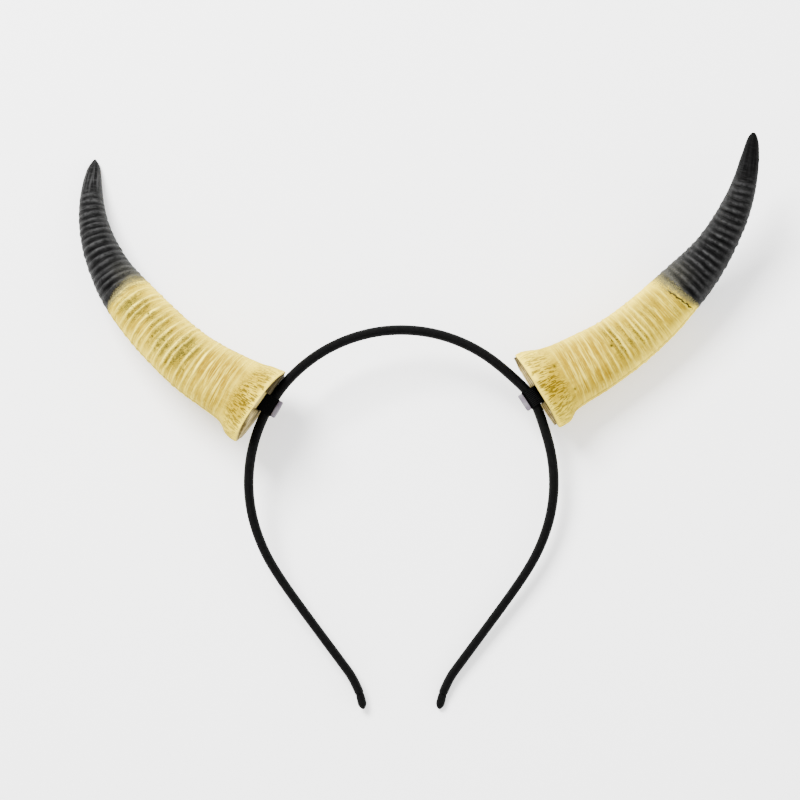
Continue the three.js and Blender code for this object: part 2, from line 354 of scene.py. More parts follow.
class Output:
    """A node's output, a number or a colour. Plain arithmetic on it adds the nodes that work it out."""

    def __init__(self, paint: "Paint", socket: bpy.types.NodeSocket) -> None:
        """Keeps the output and the material it belongs to."""
        self.paint, self.socket = paint, socket

    def __add__(self, other: "Output | float") -> "Output":
        """The sum of two numbers."""
        return self.paint.work("ADD", self, other)

    def __sub__(self, other: "Output | float") -> "Output":
        """This number less the other."""
        return self.paint.work("SUBTRACT", self, other)

    def __rsub__(self, other: float) -> "Output":
        """The other number less this one."""
        return self.paint.work("SUBTRACT", other, self)

    def __mul__(self, other: "Output | float") -> "Output":
        """The product of two numbers."""
        return self.paint.work("MULTIPLY", self, other)

    def __truediv__(self, other: float) -> "Output":
        """This number over the other."""
        return self.paint.work("DIVIDE", self, other)

    def __abs__(self) -> "Output":
        """This number without its sign."""
        return self.paint.work("ABSOLUTE", self)


Fed = Output | float | Colour


class Paint:
    """A material built from nodes, with short words for the nodes that the finishes use."""

    def __init__(self, name: str, roughness: float, sheen: float = 0.0, specular: float = 0.5) -> None:
        """Starts a material.

        Args:
            name: The material's name.
            roughness: How matt it is.
            sheen: Strength of the soft light on cloth at a glance.
            specular: Strength of its gloss.
        """
        self.material = bpy.data.materials.new(name)
        self.material.use_nodes = True
        self.tree = self.material.node_tree
        self.shader = self.tree.nodes["Principled BSDF"]
        self.shader.inputs["Roughness"].default_value = roughness
        self.shader.inputs["Sheen Weight"].default_value = sheen
        self.shader.inputs["Sheen Roughness"].default_value = SHEEN_ROUGHNESS
        self.shader.inputs["Specular IOR Level"].default_value = specular
        self.coordinates = self._node("TexCoord", "Object", {})
        self.bumped: Output | None = None

    def _feed(self, socket: bpy.types.NodeSocket, value: Fed) -> None:
        """Links a socket to another node's output, or sets it to a number or colour.

        Args:
            socket: The socket.
            value: The output, the number or the colour.
        """
        if isinstance(value, Output):
            self.tree.links.new(value.socket, socket)
        elif isinstance(value, tuple):
            socket.default_value = (*value, 1.0)
        else:
            socket.default_value = value

    def _node(self, kind: str, out: int | str, inputs: dict[int | str, Fed], **settings: str) -> Output:
        """Adds one node.

        Args:
            kind: The node's type, without the words that all their types start with.
            out: The name or number of the output that is wanted.
            inputs: What goes into the node's sockets, by their names or numbers.
            settings: The node's own values by name.

        Returns:
            The output.
        """
        node = self.tree.nodes.new(f"ShaderNode{kind}")
        for name, value in settings.items():
            setattr(node, name, value)
        for socket, value in inputs.items():
            self._feed(node.inputs[socket], value)
        return Output(self, node.outputs[out])

    def read(self, name: str) -> Output:
        """Reads the numbers that the piece's vertices carry under this name."""
        return self._node("Attribute", "Fac", {}, attribute_name=name)

    def work(self, operation: str, first: Output | float, second: Output | float = 0.0) -> Output:
        """Works out one number from two."""
        return self._node("Math", 0, {0: first, 1: second}, operation=operation)

    def span(
        self, value: Output, low: float, high: float, to_low: float = 0.0, to_high: float = 1.0
    ) -> Output:
        """Maps a number smoothly from one span to another and stops at its ends."""
        inputs = {"Value": value, "From Min": low, "From Max": high, "To Min": to_low, "To Max": to_high}
        return self._node("MapRange", "Result", inputs, interpolation_type="SMOOTHSTEP")

    def noise(self, width: float, detail: float = DETAIL) -> Output:
        """Noise in the row frame, whose lumps are about this wide, in metres."""
        inputs = {"Vector": self.coordinates, "Scale": 1.0 / width, "Detail": detail}
        return self._node("TexNoise", "Fac", inputs)

    def drawn(self, round_width: float, long_width: float) -> Output:
        """Noise that lies on a horn's own skin.

        Args:
            round_width: Width of the noise's lumps round the horn, as a share of its radius.
            long_width: Their length along the horn, in metres.

        Returns:
            The noise, from 0 to 1.
        """
        skin = {
            0: self.read("facing") / round_width,
            1: self.read("inward") / round_width,
            2: self.read("along") / long_width,
        }
        inputs = {"Vector": self._node("CombineXYZ", 0, skin), "Scale": 1.0, "Detail": DETAIL}
        return self._node("TexNoise", "Fac", inputs)

    def mix(self, share: Output, first: Fed, second: Fed) -> Output:
        """Mixes two colours."""
        return self._node("Mix", 2, {0: share, 6: first, 7: second}, data_type="RGBA")

    def coats(self, ground: Output, *coats: tuple[Output, Fed]) -> Output:
        """Lays coats of colour over one another.

        Args:
            ground: The colour under them.
            coats: Each coat's share and its colour, the lowest first.

        Returns:
            The colour that is seen.
        """
        for share, colour in coats:
            ground = self.mix(share, ground, colour)
        return ground

    def colour(self, value: Fed) -> None:
        """Sets the material's colour."""
        self._feed(self.shader.inputs["Base Color"], value)

    def gloss(self, value: Output) -> None:
        """Sets the material's roughness."""
        self._feed(self.shader.inputs["Roughness"], value)

    def relief(self, height: Output, depth: float) -> None:
        """Adds a fine relief to any relief that is there.

        Args:
            height: Its height, from 0 to 1.
            depth: Its depth in metres.
        """
        inputs = {"Height": height, "Distance": depth, "Strength": 1.0}
        if self.bumped:
            inputs["Normal"] = self.bumped
        self.bumped = self._node("Bump", "Normal", inputs)
        self._feed(self.shader.inputs["Normal"], self.bumped)

    def dress(self, obj: bpy.types.Object, slot: str) -> None:
        """Gives a piece this material.

        Args:
            obj: The piece.
            slot: The slot's name; not used.
        """
        obj.data.materials.clear()
        obj.data.materials.append(self.material)


@dataclass(frozen=True)
class HornFinish:
    """Cream paint with paler ridges, partly worn and partly a painted highlight, a painted rim light at its
    sides and darker grooves with dirt in some, which turns to dry-brushed charcoal at the tip, with a painted
    reflection at its sides, painted highlights on its ridges and painted shade in its grooves.
    """

    cream: Colour = (0.34, 0.232, 0.003)
    pale: Colour = (0.82, 0.62, 0.035)
    # pale of worn paint on the ridges, and of the painted highlight on their crests
    crest: Colour = (0.95, 0.78, 0.10)
    unpainted: Colour = (0.30, 0.235, 0.085)
    ochre: Colour = (0.175, 0.097, 0.0)
    olive: Colour = (0.072, 0.064, 0.010)
    dash: Colour = (0.072, 0.042, 0.001)
    speck: Colour = (0.014, 0.010, 0.002)
    sprayed: Colour = (0.085, 0.078, 0.040)
    charcoal: Colour = (0.0012, 0.0012, 0.0012)
    # grey of dry-brushing, also used for a painted highlight on the black's ridges
    brushed_and_highlight: Colour = (0.031, 0.031, 0.031)
    # grey of real dust, also used for a painted reflection at the black's two sides
    dust_and_reflection_grey: Colour = (0.022, 0.022, 0.0215)
    hazed: Colour = (0.060, 0.058, 0.046)
    # painted shade in the black's grooves
    groove_shade: Colour = (0.0003, 0.0003, 0.0003)
    broad_width: float = 10 * MM
    patch_width: float = 1.8 * MM
    patch_depth: float = 0.25 * MM
    grain_width: float = 0.5 * MM
    grain_depth: float = 0.12 * MM
    # width round the horn as a share of its radius, and length along it
    combed_size: Span = (0.7, 0.6 * MM)
    dash_size: Span = (0.034, 2.3 * MM)
    streak_size: Span = (0.16, 16 * MM)
    line_depth: float = 0.35 * MM

    def cream_part(self, paint: Paint, patch: Output, grain: Output, combed: Output) -> Output:
        """Mixes the cream paint with its wash, its dirt, a painted rim light that pales its two sides, and
        its paler ridges, which are partly worn and partly a painted highlight.

        Args:
            paint: The material.
            patch: Noise in small patches.
            grain: Noise as fine as grains.
            combed: Noise drawn out round the horn.

        Returns:
            The colour.
        """
        worn, grime = paint.read("worn"), paint.read("grime")
        # painted rim light: the cream turns paler towards the horn's two sides as seen from the front, over a
        # paler tone at random and at the lip
        edge = paint.span(abs(paint.read("facing")), 0.25, 0.95, 1.0, 0.0)
        pale_tone_and_rim_light = paint.span(paint.noise(self.broad_width), 0.4, 0.65, 0.0, 0.35) + edge * 0.75
        pale_tone_and_rim_light = paint.work("MINIMUM", pale_tone_and_rim_light + paint.read("lip"), 1.0)
        lines = paint.span(combed, 0.53, 0.66) * paint.span(edge, 0.0, 1.0, 0.55, 0.15)
        scraped = paint.span(combed, 0.47, 0.36) * 0.30
        specks = paint.span(grain, 0.55, 0.64) * paint.span(grime, 0.05, 0.7, 0.03, 0.85)
        return paint.coats(
            paint.mix(pale_tone_and_rim_light, self.cream, self.pale),
            (paint.read("wash") * paint.span(patch, 0.25, 0.6, 0.6, 1.0), self.ochre),
            (lines * worn, self.ochre),
            (scraped * worn, self.crest),
            (grime * paint.span(patch, 0.3, 0.62, 0.45, 1.0), self.olive),
            (paint.read("groove") * paint.span(patch, 0.3, 0.6, 0.1, 0.55), self.ochre),
            # painted highlight: the ridge crests are painted pale
            (paint.read("crest") * paint.span(combed, 0.68, 0.42, 0.3, 1.0), self.crest),
            (paint.read("root"), self.unpainted),
            (specks, self.speck),
        )

    def black_part(self, paint: Paint, patch: Output, grain: Output, combed: Output) -> Output:
        """Mixes the black paint, with real grey dust and a painted reflection that greys its two sides, grey
        ridges that are partly dry-brushed and partly a painted highlight, and painted shade in its grooves.

        Args:
            paint: The material.
            patch: Noise in small patches.
            grain: Noise as fine as grains.
            combed: Noise drawn out round the horn.

        Returns:
            The colour.
        """
        dust_and_reflection_strength = paint.read("dust_and_reflection")
        # painted reflection: the black turns grey towards its two sides as seen from the front, mixed with
        # real grey dust
        edge = paint.span(abs(paint.read("facing")), 0.45, 0.9, 1.0, 0.0)
        dust_and_reflection = edge * dust_and_reflection_strength * paint.span(patch, 0.3, 0.65, 0.35, 1.0)
        streaks = paint.span(paint.drawn(*self.streak_size), 0.48, 0.66, 0.0, 0.8)
        return paint.coats(
            paint.mix(dust_and_reflection, self.charcoal, self.dust_and_reflection_grey),
            (dust_and_reflection_strength * paint.span(combed, 0.45, 0.7, 0.05, 0.5), self.dust_and_reflection_grey),
            (dust_and_reflection * paint.span(grain, 0.56, 0.68, 0.0, 0.7), self.brushed_and_highlight),
            # grey on the ridges: partly dry-brushed, partly a painted highlight
            (paint.read("crest") * paint.span(patch, 0.3, 0.62, 0.25, 1.0), self.brushed_and_highlight),
            (streaks * paint.read("tip"), self.brushed_and_highlight),
            (paint.read("haze") * paint.span(grain, 0.36, 0.62, 0.25, 1.0), self.hazed),
            # painted shade: the black's grooves are painted darker still
            (paint.read("groove") * 0.9, self.groove_shade),
        )

    def paint(self) -> Paint:
        """Builds the material.

        Returns:
            The material.
        """
        paint = Paint("horn_paint", roughness=0.6, specular=0.022)
        patch = paint.noise(self.patch_width, 5.0)
        grain = paint.noise(self.grain_width)
        combed = paint.drawn(*self.combed_size)
        fringe = paint.span(paint.drawn(*self.dash_size), 0.50, 0.58) * paint.read("fringe")
        crack = abs(paint.read("crack")) + (patch - 0.5) * 0.8
        sprayed = paint.read("tone") + (grain - 0.5) * 3.2
        tone = paint.span(sprayed, -0.4, 1.1)
        cream = paint.coats(
            self.cream_part(paint, patch, grain, combed),
            (fringe * 0.85, self.dash),
            (paint.span(crack, 0.20, 0.60, 0.97, 0.0), self.speck),
            (paint.read("mark"), self.speck),
            (paint.span(sprayed, -1.9, -0.2, 0.0, 0.92), self.sprayed),
        )
        paint.colour(paint.mix(tone, cream, self.black_part(paint, patch, grain, combed)))
        paint.gloss(paint.span(tone, 0.0, 1.0, 0.66, 0.5))
        paint.relief(patch, self.patch_depth)
        paint.relief(combed, self.line_depth)
        paint.relief(1.0 - fringe, self.line_depth)
        paint.relief(grain, self.grain_depth)
        return paint


@dataclass(frozen=True)
class WrapFinish:
    """Black cloth tape wound slantwise round the hoop."""

    base: Colour = (0.0010, 0.0010, 0.0010)
    worn: Colour = (0.0050, 0.0050, 0.0050)
    tape: float = 6.5 * MM
    thread: float = 0.42 * MM
    thread_slant: float = 2.2 * MM
    strands: int = 26
    fluff_width: float = 1.3 * MM

    def paint(self) -> Paint:
        """Builds the material.

        Returns:
            The material.
        """
        paint = Paint("wrap_cloth", roughness=0.5, sheen=0.006, specular=0.025)
        along, around = paint.read("along"), paint.read("around")
        edge = paint.span(paint.work("FRACT", along / self.tape + around), 0.0, 0.12)
        threads = paint.work("SINE", (along + around * self.thread_slant) * (2 * math.pi / self.thread))
        weave = threads * paint.work("SINE", around * (2 * math.pi * self.strands))
        fluff = paint.noise(self.fluff_width, 4.0)
        worn = paint.span(weave, -0.2, 1.0) * paint.span(fluff, 0.35, 0.7)
        paint.colour(paint.mix(worn * edge, self.base, self.worn))
        paint.relief(edge, 0.10 * MM)
        paint.relief(weave, 0.05 * MM)
        paint.relief(fluff, 0.08 * MM)
        return paint


@dataclass(frozen=True)
class PadFinish:
    """Beige foam in thin layers, with brown lines of glue between them at the edge, and a painted shadow
    beside the loop's channel and towards one end.
    """

    foam: Colour = (0.19, 0.14, 0.045)
    light: Colour = (0.34, 0.27, 0.11)
    glue: Colour = (0.026, 0.015, 0.005)
    # painted shadow beside the loop's channel and towards one end of the disc
    painted_shadow: Colour = (0.016, 0.012, 0.005)
    layers: float = 3.0
    cell_width: float = 0.5 * MM
    broad_width: float = 4 * MM
    depth: float = 0.15 * MM

    def paint(self) -> Paint:
        """Builds the material.

        Returns:
            The material.
        """
        paint = Paint("pad_foam", roughness=0.9, specular=0.05)
        cells, broad = paint.noise(self.cell_width), paint.noise(self.broad_width)
        depth = paint.read("depth")
        layer = paint.work("FRACT", depth * self.layers + (broad - 0.5) * 0.9)
        line = paint.span(layer, 0.1, 0.55, 1.0, 0.0) * paint.span(abs(depth - 0.5), 0.42, 0.47, 1.0, 0.0)
        foam = paint.coats(
            paint.mix(paint.span(broad, 0.35, 0.65), self.foam, self.light),
            (paint.span(cells, 0.55, 0.7) * 0.5, self.glue),
            (line * 0.85, self.glue),
            # painted shadow
            (paint.read("painted_shadow"), self.painted_shadow),
        )
        paint.colour(foam)
        paint.relief(cells, self.depth)
        paint.relief(1.0 - line, self.depth)
        return paint


@dataclass(frozen=True)
class ElasticFinish:
    """Black knitted elastic with fine ribs across its width."""

    base: Colour = (0.0003, 0.0003, 0.0004)
    rib: Colour = (0.0016, 0.0016, 0.0018)
    rib_width: float = 0.75 * MM
    knit_width: float = 0.35 * MM
    depth: float = 0.08 * MM

    def paint(self) -> Paint:
        """Builds the material.

        Returns:
            The material.
        """
        paint = Paint("loop_elastic", roughness=0.45, sheen=0.002, specular=0.02)
        ribs = paint.work("SINE", paint.read("across") * (2 * math.pi / self.rib_width))
        knit = paint.noise(self.knit_width, 2.0)
        paint.colour(paint.mix(paint.span(ribs, -0.5, 1.0) * knit, self.base, self.rib))
        paint.relief(ribs, self.depth)
        paint.relief(knit, self.depth)
        return paint


@dataclass(frozen=True)
class FeltFinish:
    """Soft light grey felt with a lilac cast."""

    pale: Colour = (0.175, 0.160, 0.182)
    lilac: Colour = (0.098, 0.080, 0.108)
    fibre_width: float = 0.3 * MM
    fibre_depth: float = 0.14 * MM
    broad_width: float = 3 * MM

    def paint(self) -> Paint:
        """Builds the material.

        Returns:
            The material.
        """
        paint = Paint("keeper_felt", roughness=0.95, sheen=0.02, specular=0.05)
        fibres = paint.noise(self.fibre_width, 4.0)
        broad = paint.span(paint.noise(self.broad_width, 2.0), 0.35, 0.65)
        paint.colour(paint.mix(broad * 0.7 + fibres * 0.25, self.pale, self.lilac))
        paint.relief(fibres, self.fibre_depth)
        return paint


# The headband's own frame


@dataclass(frozen=True)
class HoopFrame:
    """The hoop's frame in the row frame: X across the head, Y to the crown and Z to the front."""

    matrix: Matrix

    @classmethod
    def found(cls, reach: float) -> "HoopFrame":
        """Finds the hoop from the solids.

        Args:
            reach: Distance from the hoop's centre to the outside of its crown.

        Returns:
            The frame about the hoop's centre.
        """
        band = corners(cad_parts["band"])
        _, ways = np.linalg.eigh(np.cov(band.T))
        front = ways[:, 0] * np.sign(ways[2, 0])
        tips = [corners(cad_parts[f"end_tip_{side.word}"]).mean(0) for side in (Side.LEFT, Side.RIGHT)]
        across = tips[1] - tips[0]
        across -= front * (across @ front)
        across /= np.linalg.norm(across)
        up = np.cross(front, across)
        centre = across * (across @ (tips[0] + tips[1]) / 2) + front * (band @ front).mean()
        centre += up * ((band @ up).max() - reach)
        matrix = Matrix(np.c_[across, up, front].tolist()).to_4x4()
        matrix.translation = Vector(centre)
        return cls(matrix)


@dataclass(frozen=True)
class Seat:
    """Where a horn stands on the hoop, with the angles at which it stands, in degrees."""

    side: Side
    station: float
    pull: float
    pad: float
    shift: float
    swing: float
    lean: float
    twist: float

    @property
    def bearing(self) -> float:
        """The seat's angle from the hoop's X axis."""
        return self.station if self.side is Side.RIGHT else 180 - self.station

    def frame(self, reach: float) -> Matrix:
        """The seat's frame, this far from the hoop's centre, with X outwards and Y towards the crown."""
        at = turn(self.bearing, "Z") @ Matrix.Translation((reach, 0.0, 0.0))
        return at @ turn(0 if self.side is Side.RIGHT else 180, "X")

    def root_frame(self, root: float) -> Matrix:
        """The frame of the horn's root within the seat's frame, with X along the horn.

        Args:
            root: Distance of the root from the middle of the band.

        Returns:
            The frame.
        """
        sign = self.side.value
        tilt = turn(self.swing, "Z") @ turn(sign * self.lean, "Y") @ turn(-sign * self.twist, "X")
        return Matrix.Translation((root, self.shift, 0.0)) @ tilt


@dataclass(frozen=True)
class Hoop:
    """The hoop's sizes, by which every other piece finds its place."""

    radius: float = 65.8 * MM
    shoulder_angle: float = 20.0
    knee: tuple[float, float] = (22.4 * MM, -82.0 * MM)
    end: tuple[float, float] = (17.6 * MM, -91.6 * MM)
    leg_lean: float = 36.5
    thickness: float = 3.7 * MM
    leg_thickness: float = 3.3 * MM
    depth: float = 4.4 * MM
    pull_spread: float = 9.0
    seats: tuple[Seat, ...] = (
        Seat(Side.RIGHT, 33.0, 1.4 * MM, 2.2 * MM, 1.6 * MM, -1.6, 3.0, -26.0),
        Seat(Side.LEFT, 30.5, 0.0, 1.4 * MM, -2.3 * MM, 4.6, 9.2, 28.0),
    )
    fit: float = 0.2 * MM
    strap_thickness: float = 0.5 * MM
    strap_width: float = 8.2 * MM
    strap_corner: float = 1.4 * MM
    root_slant: float = 8.0
    # how strongly a leg's curve is drawn straight on at its shoulder, at its knee and beyond its knee
    leg_pulls: tuple[float, float, float] = (0.21, 0.67, 0.3)
    leg_points: tuple[int, int] = (60, 14)
    crown_step: float = 2.0

    def reach_at(self, angle: float) -> float:
        """Distance from the hoop's centre to the middle of the band, at an angle from its X axis."""
        return self.radius + max(
            seat.pull * math.exp(-(((angle - seat.bearing) / self.pull_spread) ** 2)) for seat in self.seats
        )

    def leg(self) -> np.ndarray:
        """Draws the right leg, from the shoulder to the band's end.

        Returns:
            Points down its middle.
        """
        shoulder, lean = math.radians(self.shoulder_angle), math.radians(self.leg_lean)
        start = self.radius * np.array([math.cos(shoulder), -math.sin(shoulder)])
        knee, end = np.array(self.knee), np.array(self.end)
        down = np.array([-math.sin(shoulder), -math.cos(shoulder)])
        straight = np.array([-math.sin(lean), -math.cos(lean)])
        at_shoulder, at_knee, beyond = self.leg_pulls
        run = np.linalg.norm(knee - start)
        leading = (start, start + at_shoulder * run * down, knee - at_knee * run * straight, knee)
        bend = knee + beyond * np.linalg.norm(end - knee) * straight
        upper, lower = self.leg_points
        return np.r_[bezier(leading, upper), bezier((knee, bend, end), lower)[1:]]

    def line(self, count: int) -> tuple[np.ndarray, np.ndarray]:
        """Evenly spaced points along the middle of the band, from its left end to its right one.

        Args:
            count: Number of points.

        Returns:
            The points, and the band's heading at each in radians.
        """
        right, step = self.leg(), self.crown_step
        angles = np.arange(180 + self.shoulder_angle - step, -self.shoulder_angle, -step)
        reach = np.array([self.reach_at(angle) for angle in angles])
        crown = np.c_[reach * np.cos(np.radians(angles)), reach * np.sin(np.radians(angles))]
        points = spaced(np.r_[(right * (-1, 1))[::-1], crown, right], count)
        ways = np.gradient(points, axis=0)
        return points, np.unwrap(np.arctan2(ways[:, 1], ways[:, 0]))

    def bow(self, seat: Seat) -> float:
        """Works out how far the band falls back towards the hoop's centre over half a loop's width.

        Args:
            seat: The loop's seat.

        Returns:
            The distance.
        """
        reach = self.reach_at(seat.bearing)
        half = math.atan(self.strap_width / 2 / reach)
        return reach - self.reach_at(seat.bearing + math.degrees(half)) * math.cos(half)

    def places(self, seat: Seat) -> tuple[float, float, float]:
        """Places across a seat, counted outwards from the middle of the band.

        Args:
            seat: The seat.

        Returns:
            The loop's head side, the loop's end in the horn, and the horn's root.
        """
        swing = abs(math.tan(math.radians(seat.swing)))
        lean = math.tan(math.radians(abs(seat.lean - self.root_slant)))
        head = -(self.thickness / 2 + self.fit + self.bow(seat) + self.strap_thickness)
        room = self.radius * swing * swing / 2 + abs(seat.shift) * swing + self.depth / 4 * lean
        root = self.thickness / 2 + self.fit + room + seat.pad + self.fit
        loop_depth = self.depth + 2 * self.fit + 2 * self.strap_thickness
        flat = loop_depth / 2 - self.strap_corner - self.strap_thickness
        end = root - self.fit - (self.strap_width / 2 + abs(seat.shift)) * swing - flat * lean
        return head, end, root

    def seat_frame(self, seat: Seat) -> Matrix:
        """The frame of a seat within the hoop's frame."""
        return seat.frame(self.reach_at(seat.bearing))

    def root_frame(self, seat: Seat) -> Matrix:
        """The frame of a horn's root within the hoop's frame, with X along the horn."""
        return self.seat_frame(seat) @ seat.root_frame(self.places(seat)[2])


# Pieces


@dataclass
class Band:
    """The sprung hoop in its wound cloth, and the tips that close its ends."""

    hoop: Hoop
    at: Matrix
    finish: WrapFinish = WrapFinish()
    sections: int = 200
    sides: int = 20
    cloth: float = 0.31 * MM
    # what smoothing leaves of the band's thickness
    drawn_in: float = 0.984
    # from the middle of the band to its end, where it gets thinner
    slim_zone: Span = (0.45, 0.8)
    smooth_below: float = 60.0
    tip_sides: int = 12
    tip_length: float = 7.0 * MM
    sunk: float = 0.8 * MM
    tip_girth: float = 4.0 * MM
    tip_turn: float = 9.0
    tip_outline: tuple[tuple[float, float], ...] = (
        (0.0, 0.40), (0.0, 0.80), (0.06, 0.93), (0.2, 0.97), (0.45, 0.99), (0.66, 1.0),
        (0.76, 0.90), (0.89, 0.60), (0.98, 0.32), (1.0, 0.12),
    )

    def build_band(self) -> bpy.types.Object:
        """Draws the band out along the hoop and lets it thin towards its ends.

        Returns:
            The band, in its place.
        """
        points, headings = self.hoop.line(self.sections)
        slim = ease(*self.slim_zone, np.abs(np.linspace(-1, 1, self.sections)))
        radii = (self.hoop.thickness * (1 - slim) + self.hoop.leg_thickness * slim) / 2
        sections = [
            Section(float(x), float(y), math.degrees(heading), float(radius + self.cloth) / self.drawn_in)
            for (x, y), heading, radius in zip(points, headings, radii)
        ]
        obj = draw_out(sections, self.sides)
        reshape(obj, corners(obj) * (1.0, 1.0, self.hoop.depth / self.hoop.thickness))
        modify(obj, "SUBSURF", levels=1, render_levels=1)
        self._follow(obj, Track(points, headings))
        return place(obj, "wrapped_band", self.at, self.smooth_below)

    def _follow(self, obj: bpy.types.Object, track: Track) -> None:
        """Marks how far along and round the line each vertex is, for the wound cloth.

        Args:
            obj: The piece.
            track: Its middle line.
        """
        along, around = track.locate(corners(obj), Vector((0.0, 0.0, 1.0)))
        mark(obj, "along", along)
        mark(obj, "around", np.abs(around) / (2 * math.pi))

    def build_tip(self, side: Side) -> bpy.types.Object:
        """Draws out the blunt, slightly swollen tip at one end of the band.

        Args:
            side: The side of that end.

        Returns:
            The tip, in its place.
        """
        points, headings = self.hoop.line(self.sections)
        right = side is Side.RIGHT
        x, y = points[-1 if right else 0]
        heading = headings[-1] if right else headings[0] + math.pi
        turned = heading + math.radians(side.value * self.tip_turn)
        start = (x - self.sunk * math.cos(heading), y - self.sunk * math.sin(heading), 0.0)
        mouth = Matrix.Translation(start) @ Matrix.Rotation(turned, 4, "Z")
        sections = [
            Section(share * self.tip_length, 0.0, 0.0, girth * self.tip_girth / 2)
            for share, girth in self.tip_outline
        ]
        obj = draw_out(sections, self.tip_sides)
        modify(obj, "SUBSURF", levels=2, render_levels=2)
        self._follow(obj, Track(np.array([[0.0, 0.0], [self.tip_length, 0.0]]), np.zeros(2)))
        return place(obj, f"band_tip_{side.word}", self.at @ mouth, self.smooth_below)

    def make(self) -> None:
        """Builds and dresses the band and both tips."""
        paint = self.finish.paint()
        band = self.build_band()
        paint.dress(band, "band_cloth")
        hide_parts("band")
        report(band)
        for side in Side:
            tip = self.build_tip(side)
            paint.dress(tip, "band_cloth")
            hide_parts(f"end_tip_{side.word}")
            report(tip)


@dataclass(frozen=True)
class Pit:
    """A small dent in a horn's skin: its distance from the root, its angle round the horn and its width."""

    along: float
    around: float
    width: float


@dataclass(frozen=True)
class Skin:
    """A horn's vertices, their distances from its root and their angles round it, with its seed."""

    places: np.ndarray
    along: np.ndarray
    around: np.ndarray
    seed: int

    def cloud(self, size: float, number: int) -> np.ndarray:
        """One of the skin's smooth noises, told from the others by its number."""
        return cloud(self.places, size, self.seed + number)


